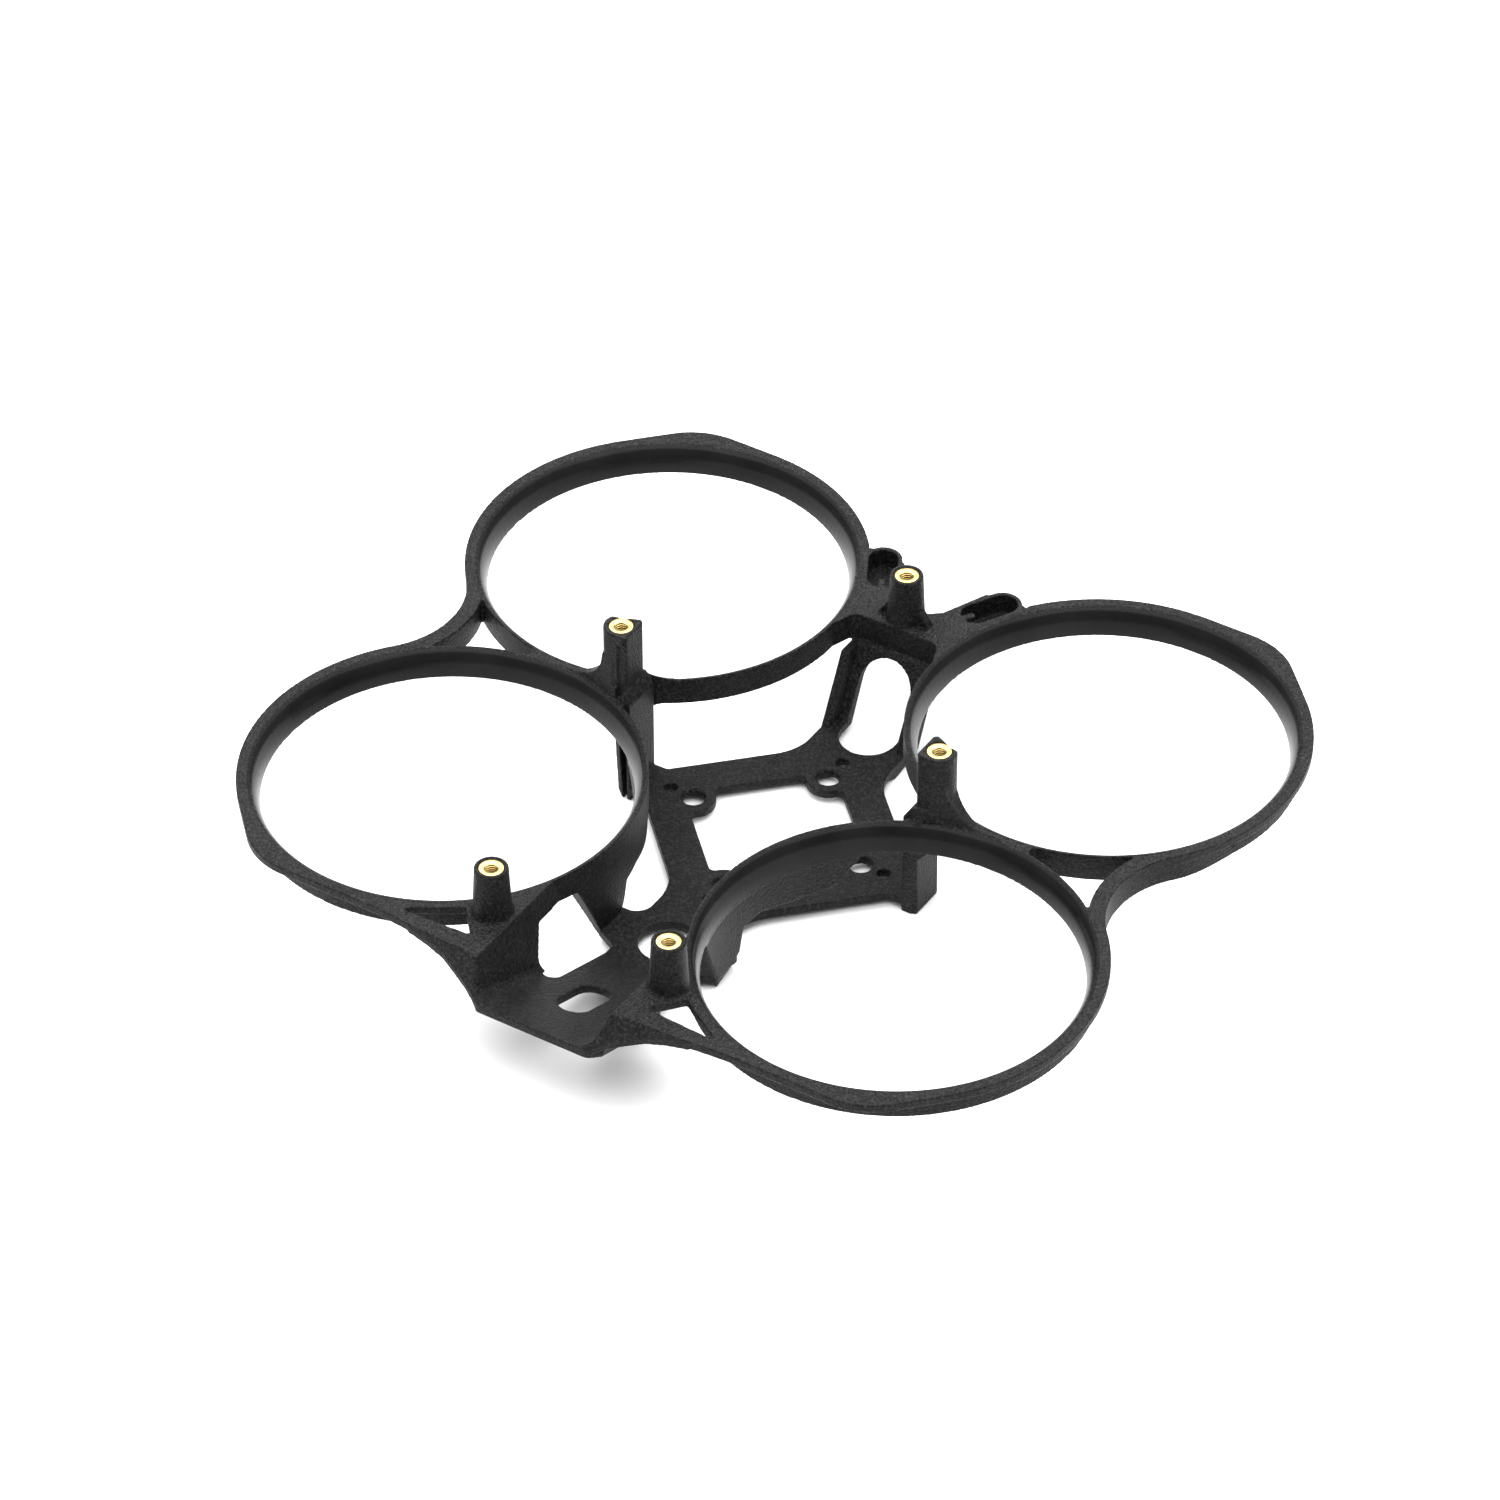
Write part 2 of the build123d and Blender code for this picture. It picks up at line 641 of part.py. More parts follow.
with BuildPart() as camera_cradle:
    with BuildSketch(level(0)):
        with BuildLine():
            neck_foot = [
                (RAMP_NECK_HALF, DECK_FRONT_Y),
                (RAMP_NECK_HALF, 49.2),
                (LIP_OUT_X, 47.8),
                (RAMP_HALF + CHEEK_T, 47.6),
            ]
            FilletPolyline(*neck_foot, radius=[1.6, 0.1])
            lip_end = [
                neck_foot[-1],
                (RAMP_HALF + CHEEK_T, CHEEK_END_Y),
                (FASCIA[0][0], NOSE_Y),
                (0, NOSE_Y),
            ]
            FilletPolyline(*lip_end, radius=[1.0, 0.8])
            Line((0, DECK_FRONT_Y), neck_foot[0])
            mirror(about=Plane.YZ)
        make_face()
        with Locations((0, VIEW_SLOT_Y)):
            SlotOverall(VIEW_SLOT_LENGTH, VIEW_SLOT_WIDTH, rotation=90, mode=Mode.SUBTRACT)
    extrude(amount=RIM_TOP)
    with BuildSketch(side_plane(-2 * RAMP_HALF)):
        with BuildLine():
            Polyline(
                (DECK_FRONT_Y, DECK_BASE),
                (DECK_FRONT_Y, DECK_TOP),
                (NOSE_Y, RAMP_LIP_TOP),
                (NOSE_Y, RAMP_LIP_TOP - RAMP_T),
                close=True,
            )
        make_face()
    extrude(amount=4 * RAMP_HALF, mode=Mode.INTERSECT)
    add(right_cheek())
    mirror(right_cheek(), about=Plane.YZ)

# ---------------------------------------------------------------- rear bridge
POCKET_SPAN = math.dist(POCKET_IN, POCKET_OUT)
POCKET_MID = ((POCKET_IN[0] + POCKET_OUT[0]) / 2, (POCKET_IN[1] + POCKET_OUT[1]) / 2)
POCKET_TURN = math.degrees(
    math.atan2(POCKET_OUT[1] - POCKET_IN[1], POCKET_OUT[0] - POCKET_IN[0])
)
BRIDGE_EDGE = [
    (0, BRIDGE_FRONT_Y),
    (BRIDGE_HALF, BRIDGE_FRONT_Y),
    (8.3, -29.0),
    (14.0, -29.0),
    (16.0, -46.0),
    (12.0, -47.6),
    (6.9, -46.6),
    (3.8, -39.6),
    (2.1, -38.2),
    (0, -38.2),
]
BRIDGE_WALL = 1.3
BRIDGE_CORNER = 2.0
HOLLOW_FRONT_Y = BRIDGE_FRONT_Y - BRIDGE_WALL
HOLLOW = [
    (0, HOLLOW_FRONT_Y),
    (6.6, HOLLOW_FRONT_Y),
    (7.2, -38.0),
    (4.9, -38.6),
    (2.9, -36.9),
    (0, -36.9),
]
POCKET_CLEAR = 0.5         # skin left between a pocket and the duct wall
TAB_ROOT = 0.1             # how far a tab runs into the pocket's end
SLICE_END = -100           # direction where the flange has already ended

with BuildPart() as rear_bridge:
    with BuildSketch(level(DUCT_BASE)) as bridge_outline:
        with BuildLine():
            Polyline(*BRIDGE_EDGE)
            mirror(about=Plane.YZ)
        make_face()
        for side in (1, -1):
            with Locations((side * POCKET_MID[0], POCKET_MID[1])):
                SlotCenterToCenter(
                    POCKET_SPAN, 2 * (POCKET_R + POCKET_WALL), rotation=side * POCKET_TURN
                )
            with Locations((side * DUCT_X, -DUCT_Y)):
                Circle(WALL_R, mode=Mode.SUBTRACT)
            with BuildLine():
                slice_points = sector(REAR_DUCT, SLICE_END, -REAR_FLANGE_END)
                Polyline(*[(side * x, y) for x, y in slice_points], close=True)
            make_face(mode=Mode.SUBTRACT)
    extrude(amount=RIM_TOP - DUCT_BASE)
    corners = edges().filter_by(Axis.Z).filter_by_position(
        Axis.Y, THRUST_Y + BRIDGE_FRONT_Y - 0.1, THRUST_Y + BRIDGE_FRONT_Y + 0.1
    )
    fillet(corners, BRIDGE_CORNER)
    with BuildSketch(level(DUCT_BASE)):
        with BuildLine():
            Polyline(*HOLLOW)
            mirror(about=Plane.YZ)
        make_face()
        with Locations((0, REAR_POST_Y)):
            Circle(BOSS_BASE_R - HOLLOW_CLEAR, mode=Mode.SUBTRACT)
        with Locations((DUCT_X, -DUCT_Y), (-DUCT_X, -DUCT_Y)):
            Circle(WALL_R + BRIDGE_WALL, mode=Mode.SUBTRACT)
    extrude(amount=FLANGE_BASE - DUCT_BASE, mode=Mode.SUBTRACT)
    with BuildSketch(level(POCKET_FLOOR)):
        for side in (1, -1):
            with Locations((side * POCKET_MID[0], POCKET_MID[1])):
                SlotCenterToCenter(POCKET_SPAN, 2 * POCKET_R, rotation=side * POCKET_TURN)
            with Locations((side * DUCT_X, -DUCT_Y)):
                Circle(WALL_R + POCKET_CLEAR, mode=Mode.SUBTRACT)
    extrude(amount=RIM_TOP - POCKET_FLOOR, mode=Mode.SUBTRACT)
    with BuildSketch(level(RIM_TOP)):
        for side in (1, -1):
            reach = POCKET_SPAN / 2 + POCKET_R - TAB_LENGTH / 2 + TAB_ROOT
            tab_x, tab_y = polar(POCKET_MID, -reach, POCKET_TURN)
            with Locations((side * tab_x, tab_y)):
                Rectangle(TAB_LENGTH, TAB_WIDTH, rotation=side * POCKET_TURN)
    extrude(amount=-TAB_T)

# ---------------------------------------------------------------- rear wall
WALL_FACE = [
    (DECK_REAR_Y, DECK_BASE),
    (DECK_REAR_Y, DECK_TOP),
    (-32.0, DUCT_BASE),
    (-33.6, DUCT_BASE),
    (-27.8, DECK_BASE),
]
WALL_RIB = [(-23.4, DECK_TOP), (-28.9, DUCT_BASE), (-32.2, DUCT_BASE), (-26.4, DECK_TOP)]
WALL_FOOT = [(-19.6, DECK_BASE), (-21.2, 0), (-22.4, 0), (-27.8, DECK_BASE)]
WALL_HALF = BRIDGE_HALF
RIB_T = 1.3
SLOT_TOP = 12.2

with BuildPart() as rear_wall:
    with BuildSketch(side_plane(-WALL_HALF)):
        with BuildLine():
            Polyline(*WALL_FACE, close=True)
        make_face()
    extrude(amount=2 * WALL_HALF)
    for start in (-WALL_HALF, WALL_HALF - RIB_T):
        with BuildSketch(side_plane(start)):
            for outline in (WALL_RIB, WALL_FOOT):
                with BuildLine():
                    Polyline(*outline, close=True)
                make_face()
        extrude(amount=RIB_T)
    with BuildSketch(cross_plane(SLOT_FRONT_Y)):
        with Locations((0, SLOT_TOP - SLOT_HALF)):
            Circle(SLOT_HALF)
        with Locations((0, (SLOT_TOP - SLOT_HALF) / 2)):
            Rectangle(2 * SLOT_HALF, SLOT_TOP - SLOT_HALF)
    extrude(amount=SLOT_FRONT_Y - BRIDGE_FRONT_Y + BRIDGE_WALL, mode=Mode.SUBTRACT)

# ---------------------------------------------------------------- round posts
GUSSET = [(1.9, RIM_TOP), (4.3, RIM_TOP), (1.9, RIM_TOP + 3.9)]
GUSSET_T = 1.4
with BuildPart() as rear_post:
    with Locations((0, THRUST_Y + REAR_POST_Y, 0)):
        add(boss())
    for side in (1, -1):
        with BuildSketch(cross_plane(REAR_POST_Y + GUSSET_T / 2)):
            with BuildLine():
                Polyline(*[(side * x, z) for x, z in GUSSET], close=True)
            make_face()
        extrude(amount=GUSSET_T)
with BuildPart() as front_right_post:
    with Locations((NOSE_POST_X, THRUST_Y + NOSE_POST_Y, 0)):
        add(boss())
    with BuildSketch(level(RIM_TOP)):
        with Locations(FRONT_DUCT):
            Circle(WALL_R)
    extrude(amount=BOSS_ROOT, mode=Mode.SUBTRACT)
with BuildPart() as front_left_post:
    mirror(front_right_post.part, about=Plane.YZ)

# ---------------------------------------------------------------- threaded inserts
INSERTS = {
    "front_right_insert": (NOSE_POST_X, NOSE_POST_Y, POST_TOP),
    "front_left_insert": (-NOSE_POST_X, NOSE_POST_Y, POST_TOP),
    "mid_right_insert": (POST_X, POST_Y, MID_POST_TOP),
    "mid_left_insert": (-POST_X, POST_Y, MID_POST_TOP),
    "rear_insert": (0, REAR_POST_Y, POST_TOP),
}

PARTS = {
    "front_right_duct": front_right_duct,
    "front_left_duct": front_left_duct,
    "rear_right_duct": rear_right_duct,
    "rear_left_duct": rear_left_duct,
    "right_side_web": right_side_web,
    "left_side_web": left_side_web,
    "right_mid_post": right_mid_post,
    "left_mid_post": left_mid_post,
    "electronics_deck": electronics_deck,
    "front_right_strut": front_right_strut,
    "front_left_strut": front_left_strut,
    "front_right_web": front_right_web,
    "front_left_web": front_left_web,
    "camera_cradle": camera_cradle,
    "rear_bridge": rear_bridge,
    "rear_wall": rear_wall,
    "rear_post": rear_post,
    "front_right_post": front_right_post,
    "front_left_post": front_left_post,
}
for name, (x, y, top) in INSERTS.items():
    with BuildPart() as placed:
        with Locations((x, THRUST_Y + y, 0)):
            add(insert(top - BORE_SINK_DEPTH))
    PARTS[name] = placed

os.makedirs("parts", exist_ok=True)
for name, builder in PARTS.items():
    builder.part.label = name
    export_step(builder.part, f"parts/{name}.step")
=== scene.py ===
"""Looks of the two-inch ducted drone frame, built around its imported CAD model."""
import heapq
import math

import bmesh
import bpy
import numpy as np
from mathutils import Matrix, Vector
from mathutils.bvhtree import BVHTree


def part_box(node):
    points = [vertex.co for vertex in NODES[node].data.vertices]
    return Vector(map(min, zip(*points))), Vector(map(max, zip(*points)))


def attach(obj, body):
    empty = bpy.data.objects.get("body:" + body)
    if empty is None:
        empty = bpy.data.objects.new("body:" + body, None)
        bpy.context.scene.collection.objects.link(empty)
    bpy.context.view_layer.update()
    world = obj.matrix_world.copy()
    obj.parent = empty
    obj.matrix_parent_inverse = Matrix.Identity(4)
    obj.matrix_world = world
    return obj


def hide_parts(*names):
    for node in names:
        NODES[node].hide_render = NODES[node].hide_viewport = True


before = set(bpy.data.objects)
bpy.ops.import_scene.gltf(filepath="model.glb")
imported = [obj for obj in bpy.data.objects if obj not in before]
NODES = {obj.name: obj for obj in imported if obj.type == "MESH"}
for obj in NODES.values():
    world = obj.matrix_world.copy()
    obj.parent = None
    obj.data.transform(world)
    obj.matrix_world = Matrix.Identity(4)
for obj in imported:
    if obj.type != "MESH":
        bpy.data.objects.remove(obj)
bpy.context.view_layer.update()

MM = 0.001
INSERTS = sorted(n for n in NODES if n.endswith("_insert"))
REGIONS = sorted(n for n in NODES if not n.endswith("_insert"))

# ---------------------------------------------------------------- camera
CAMERA_AZIMUTH = math.radians(212.161)
CAMERA_ELEVATION = math.radians(39.303)
CAMERA_DISTANCE = 1.003
CAMERA_TARGET = Vector((3.377, -0.552, 17.0)) * MM
CAMERA_LENS = 169.208

# ---------------------------------------------------------------- moulding
VOXEL = 0.17               # mm, grid the fused skin is made on
WELD = 0.001               # mm, vertices nearer than this are one
SMOOTH_PASSES = 2          # evens out the grid's steps and rounds every edge a little
SMOOTH_SHARE = 0.5
LABEL_PASSES = 4
OWN_VOTE = 1.5             # weight of a face's own label, where each neighbour's is 1
DUCT_X, DUCT_Y = 37.0, 29.0  # duct centres, from the middle of the four
THRUST_Y = -2.35           # middle of the four duct centres
LIP_R = 28.65              # where the rounded inlet meets the flat rim
RIM_TOP = 17.4
DUCT_BASE = 13.05
FLAT_FROM, FLAT_SPAN = 0.93, 0.06    # normal's z where the coarse grain starts, its fade
HIGH_BELOW, HIGH_SPAN = 0.35, 0.25   # mm below the rim top where it starts, its fade
SATIN_INSET, SATIN_SPAN = 0.5, 0.4   # mm inside the lip where satin starts, its fade
SATIN_BELOW = 0.5                    # mm below the duct's base where satin ends


def new_object(name, mesh):
    obj = bpy.data.objects.new(name, mesh)
    bpy.context.scene.collection.objects.link(obj)
    return obj


def fused_skin():
    """All regions of the moulding as one closed mesh, in millimetres."""
    bm = bmesh.new()
    for name in REGIONS:
        bm.from_mesh(NODES[name].data)
    bmesh.ops.transform(bm, matrix=Matrix.Scale(1 / MM, 4), verts=bm.verts)
    bmesh.ops.remove_doubles(bm, verts=bm.verts, dist=WELD)
    mesh = bpy.data.meshes.new("skin")
    bm.to_mesh(mesh)
    bm.free()
    obj = new_object("skin", mesh)
    remesh = obj.modifiers.new("remesh", "REMESH")
    remesh.mode = "VOXEL"
    remesh.voxel_size = VOXEL
    depsgraph = bpy.context.evaluated_depsgraph_get()
    skin = bpy.data.meshes.new_from_object(obj.evaluated_get(depsgraph))
    bpy.data.objects.remove(obj)
    return skin


def smoothed(points, edges):
    """Each vertex drawn towards its neighbours a few times."""
    a, b = edges[:, 0], edges[:, 1]
    count = len(points)
    degree = np.bincount(a, minlength=count) + np.bincount(b, minlength=count)
    for _ in range(SMOOTH_PASSES):
        mean = np.empty_like(points)
        for axis in range(3):
            column = points[:, axis]
            mean[:, axis] = (
                np.bincount(a, column[b], count) + np.bincount(b, column[a], count)
            )
        points = points + SMOOTH_SHARE * (mean / degree[:, None] - points)
    return points


def read(collection, key, width, kind):
    """One attribute of a mesh's elements as an array, with a row for each element."""
    values = np.empty(len(collection) * width, kind)
    collection.foreach_get(key, values)
    return values.reshape(-1, width) if width > 1 else values


def nearest_region(centres):
    """Index in REGIONS of the CAD node whose surface lies nearest to each point."""
    points, faces, owner = [], [], []
    for index, name in enumerate(REGIONS):
        mesh = NODES[name].data
        base = len(points)
        points.extend((v.co / MM) for v in mesh.vertices)
        for p in mesh.polygons:
            faces.append([base + v for v in p.vertices])
            owner.append(index)
    tree = BVHTree.FromPolygons(points, faces)
    return np.array([owner[tree.find_nearest(c)[2]] for c in centres.tolist()])


def steadied(labels, pairs):
    """Labels after each face has taken the one that most of its neighbours hold."""
    kinds = len(REGIONS)
    for _ in range(LABEL_PASSES):
        votes = np.zeros(len(labels) * kinds)
        for one, other in ((pairs[:, 0], pairs[:, 1]), (pairs[:, 1], pairs[:, 0])):
            votes += np.bincount(one * kinds + labels[other], minlength=len(votes))
        votes[np.arange(len(labels)) * kinds + labels] += OWN_VOTE
        labels = votes.reshape(-1, kinds).argmax(1)
    return labels


def face_pairs(faces):
    """Pairs of quads that share an edge."""
    owner = np.repeat(np.arange(len(faces)), 4)
    ends = np.sort(np.stack((faces, np.roll(faces, -1, 1)), 2).reshape(-1, 2), 1)
    order = np.lexsort((ends[:, 1], ends[:, 0]))
    ends, owner = ends[order], owner[order]
    same = (ends[1:] == ends[:-1]).all(1)
    return np.stack((owner[:-1][same], owner[1:][same]), 1)


def vertex_normals(points, faces):
    """Smooth normals of a mesh of quads, weighted by area."""
    first, second, third, fourth = (points[faces[:, corner]] for corner in range(4))
    across = np.cross(third - first, fourth - second)
    total = np.zeros_like(points)
    for corner in range(4):
        for axis in range(3):
            total[:, axis] += np.bincount(faces[:, corner], across[:, axis], len(points))
    return total / np.maximum(np.linalg.norm(total, axis=1), 1e-12)[:, None]


def grain_share(points, normals):
    """1 on the flat tops that carry the coarse grain, 0 on the smooth walls."""
    flat = np.clip((normals[:, 2] - FLAT_FROM) / FLAT_SPAN, 0, 1)
    high = np.clip((points[:, 2] - RIM_TOP + HIGH_BELOW) / HIGH_SPAN, 0, 1)
    return flat * high


def open_loops(faces):
    """The open edges of some quads as closed rings of vertex indices, against the faces' turn."""
    start, end = faces.ravel(), np.roll(faces, -1, 1).ravel()
    low, high = np.minimum(start, end), np.maximum(start, end)
    edge = low * (high.max() + 1) + high
    _, index, count = np.unique(edge, return_index=True, return_counts=True)
    after = {}
    for i in index[count == 1].tolist():
        after.setdefault(int(end[i]), []).append(int(start[i]))
    loops = []
    while after:
        first = next(iter(after))
        loop, here = [], first
        while True:
            loop.append(here)
            choices = after[here]
            here = choices.pop()
            if not choices:
                del after[loop[-1]]
            if here == first:
                break
        loops.append(loop)
    return loops


def cap(points, loop):
    """Triangles that close a ring.

    The shortest new edge comes first, so that the cap of a curved strip follows its curve."""
    count = len(loop)
    before = [(i - 1) % count for i in range(count)]
    after = [(i + 1) % count for i in range(count)]
    spots = points[loop]

    def ear(i):
        return (float(np.sum((spots[before[i]] - spots[after[i]]) ** 2)), i, before[i], after[i])

    queue = [ear(i) for i in range(count)]
    heapq.heapify(queue)
    triangles = []
    while len(triangles) < count - 2:
        _, i, left, right = heapq.heappop(queue)
        if before[i] != left or after[i] != right:
            continue
        triangles.append((loop[left], loop[i], loop[right]))
        after[left], before[right] = right, left
        before[i] = after[i] = -1
        heapq.heappush(queue, ear(left))
        heapq.heappush(queue, ear(right))
    return triangles


def satin_share(points):
    """1 on the smooth inner walls of the ducts, 0 elsewhere."""
    reach = np.hypot(np.abs(points[:, 0]) - DUCT_X, np.abs(points[:, 1] - THRUST_Y) - DUCT_Y)
    inner = np.clip((LIP_R - SATIN_INSET - reach) / SATIN_SPAN, 0, 1)
    return inner * (points[:, 2] > DUCT_BASE - SATIN_BELOW)


def vertex_share(mesh, name, share):
    """Keeps one number per vertex for the materials."""
    layer = mesh.attributes.new(name, "FLOAT", "POINT")
    layer.data.foreach_set("value", share.astype(np.float32))


def region_piece(node, points, faces, normals):
    """One closed piece of the moulding, cut from the skin along its CAD node's edges."""
    used, local = np.unique(faces, return_inverse=True)
    local = local.reshape(-1, 4)
    points, normals = points[used], normals[used]
    caps = [t for loop in open_loops(local) for t in cap(points, loop)]
    mesh = bpy.data.meshes.new(node + "_moulding")
    mesh.from_pydata((points * MM).tolist(), [], local.tolist() + caps)
    mesh.polygons.foreach_set("use_smooth", np.ones(len(mesh.polygons), bool))
    vertex_share(mesh, "coarse_grain", grain_share(points, normals))
    vertex_share(mesh, "satin", satin_share(points))
    shading = normals[read(mesh.loops, "vertex_index", 1, np.int32)]
    cap_normals = read(mesh.polygons, "normal", 3, np.float32)[len(local):]
    shading[local.size:] = np.repeat(cap_normals, 3, 0)
    mesh.normals_split_custom_set(shading.tolist())
    piece = new_object(mesh.name, mesh)
    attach(piece, "root")
    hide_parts(node)
    return piece


def moulding():
    """All the moulding's pieces, cut from one skin."""
    skin = fused_skin()
    points = read(skin.vertices, "co", 3, np.float32).astype(float)
    edges = read(skin.edges, "vertices", 2, np.int32)
    faces = read(skin.polygons, "vertices", 4, np.int32)
    bpy.data.meshes.remove(skin)
    points = smoothed(points, edges)
    normals = vertex_normals(points, faces)
    labels = steadied(nearest_region(points[faces].mean(1)), face_pairs(faces))
    return [
        region_piece(node, points, faces[labels == index], normals)
        for index, node in enumerate(REGIONS)
    ]


# ---------------------------------------------------------------- inserts
# Lengths are in millimetres.
COLUMNS = 72               # round the insert
PITCH = 0.4                # M2 coarse thread
MINOR_R, MAJOR_R = 0.8, 1.02
ROWS_PER_TURN = 12
FACE_EDGE = 0.1            # chamfer between the end face and the outside
KNURL_DEPTH = 0.12
KNURL_START, KNURL_END = 0.7, 3.4   # below the face
KNURL_SLOPE = 0.15
KNURL_EVERY = 3            # columns from one groove to the next
MOUTH_OUT, MOUTH_IN = 0.08, 0.02    # past the thread's major radius, at the face and below
MOUTH_DROP = 0.03          # below the face, where the mouth is narrower
THREAD_START = 0.12        # below the face
THREAD_STOP = 0.1          # above the lower end
THREAD_FLAT, THREAD_FLANK = 0.15, 0.7   # shares of half a pitch
CREASE = math.radians(28)


def thread_rows(top, bottom):
    """Rings of radii, from the mouth down, that wind round the bore as a thread."""
    turn = np.arange(COLUMNS) / COLUMNS
    heights = np.arange(top, bottom, -PITCH / ROWS_PER_TURN)
    rows = []
    for z in heights:
        tooth = np.abs(2 * ((z / PITCH + turn) % 1) - 1)
        cut = np.clip((tooth - THREAD_FLAT) / THREAD_FLANK, 0, 1)
        rows.append((z, MINOR_R + (MAJOR_R - MINOR_R) * cut))
    return rows


def insert_mesh(name, radius, length):
    """A knurled brass insert with a cut thread. Its face is at height 0, in millimetres."""
    plain = np.ones(COLUMNS)
    knurled = radius - KNURL_DEPTH * (np.arange(COLUMNS) % KNURL_EVERY == 0)
    rows = [
        (-KNURL_END - KNURL_SLOPE, plain * (radius - KNURL_DEPTH)),
        (-KNURL_END, knurled),
        (-KNURL_START, knurled),
        (-KNURL_START + KNURL_SLOPE, plain * (radius - KNURL_DEPTH)),
        (-KNURL_START + 2 * KNURL_SLOPE, plain * radius),
        (-FACE_EDGE, plain * radius),
        (-FACE_EDGE / 4, plain * (radius - FACE_EDGE / 4)),
        (0, plain * (radius - FACE_EDGE)),
        (0, plain * (MAJOR_R + MOUTH_OUT)),
        (-MOUTH_DROP, plain * (MAJOR_R + MOUTH_IN)),
        *thread_rows(-THREAD_START, -length + THREAD_STOP),
        (-length, plain * MAJOR_R),
        (-length, plain * (radius - KNURL_DEPTH)),
    ]
    angle = 2 * math.pi * np.arange(COLUMNS) / COLUMNS
    points = np.concatenate([
        np.stack((r * np.cos(angle), r * np.sin(angle), plain * z), 1) for z, r in rows
    ])
    faces = []
    for row in range(len(rows)):
        below = (row + 1) % len(rows)
        for column in range(COLUMNS):
            beside = (column + 1) % COLUMNS
            faces.append((
                row * COLUMNS + column, row * COLUMNS + beside,
                below * COLUMNS + beside, below * COLUMNS + column,
            ))
    mesh = bpy.data.meshes.new(name)
    mesh.from_pydata((points * MM).tolist(), [], faces)
    mesh.polygons.foreach_set("use_smooth", np.ones(len(faces), bool))
    mesh.set_sharp_from_angle(angle=CREASE)
    return mesh


def insert_piece(node):
    """A threaded insert in the place and size of its CAD node."""
    lo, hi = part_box(node)
    mesh = insert_mesh(node + "_threaded", (hi.x - lo.x) / 2 / MM, (hi.z - lo.z) / MM)
    piece = new_object(mesh.name, mesh)
    piece.location = ((lo.x + hi.x) / 2, (lo.y + hi.y) / 2, hi.z)
    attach(piece, "root")
    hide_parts(node)
    return piece


# ---------------------------------------------------------------- materials
# Texture scales are per millimetre, and colours are linear. A band is the part of a value's
# range that a map stretches.
NOISE_BAND = (0.3, 0.7)    # most of a noise texture's range

PLASTIC_DARK = (0.0020, 0.0020, 0.0022, 1)
PLASTIC_LIGHT = (0.0100, 0.0100, 0.0105, 1)
PLASTIC_PAINTED_GLINT = (0.024, 0.024, 0.0245, 1)     # painted highlights on the raised points of the fine grain
PLASTIC_PAINTED_HIGHLIGHT = (0.05, 0.05, 0.051, 1)        # painted highlights on the tops of the coarse grain
FINE_SCALE = 2.4
# the fine grain's weight in the colour paints shade in its hollows and light on its raised points
FINE_BAND, FINE_SHADE_WEIGHT = (0.35, 0.68), 0.9
FINE_DEPTH = 0.0001        # m
DRIFT_SCALE = 0.12
DRIFT_RANGE = (0.25, 0.75)
PAINTED_GLINT_BAND, PAINTED_GLINT_MOST = (0.5, 0.66), 0.75
PEBBLE_SCALE = 1.9
PEBBLE_BAND = (0.12, 0.34)  # distance from a pebble's middle
WANDER_SCALE = 2.4
WANDER_BAND, WANDER_WEIGHT = (0.46, 0.56), 0.8
# strength of the painted highlights on the coarse grain
PAINTED_HIGHLIGHT_MOST = 0.85
LEATHER_DEPTH = 0.0003     # m
MATTE_ROUGH = (0.40, 0.48)
SATIN_SMOOTHER, COARSE_SMOOTHER = 0.20, 0.06
MATTE_GLOSS, COARSE_GLOSS = 0.11, 0.2

BRASS_DULL = (0.78, 0.54, 0.17, 1)
BRASS_BRIGHT = (0.87, 0.66, 0.28, 1)
BRASS_PAINTED_SHADE = (0.045, 0.022, 0.004, 1)         # painted shade down in the thread
BRASS_ROUGH = (0.20, 0.32)
TURNING_SCALE = 14.0
TURNING_STRENGTH, TURNING_DEPTH = 0.3, 0.00002   # the depth in metres
STAIN_SCALE = 0.9
STAIN_BAND = (0.35, 0.65)
ROOT_HEIGHT = (-0.16, -0.02)                  # mm from the face, dark to bright
ROOT_REACH = (MINOR_R + 0.02, MINOR_R + 0.1)  # mm from the axis, bright to dark
# how far the painted shade darkens the bore further down
DEEP_HEIGHT, DEEP_MOST = (-1.6, -0.3), 0.9
BORE_REACH = (MAJOR_R + 0.05, MAJOR_R + 0.12)  # mm from the axis, bore to outside

FLOOR_LOW = (0.90, 0.90, 0.90, 1)
FLOOR_HIGH = (0.93, 0.93, 0.93, 1)
FLOOR_ROUGH, FLOOR_GLOSS = 0.9, 0.1
HAZE_SCALE = 0.01

MIX_A, MIX_B, MIX_RESULT = 6, 7, 2            # the Mix node's colour sockets


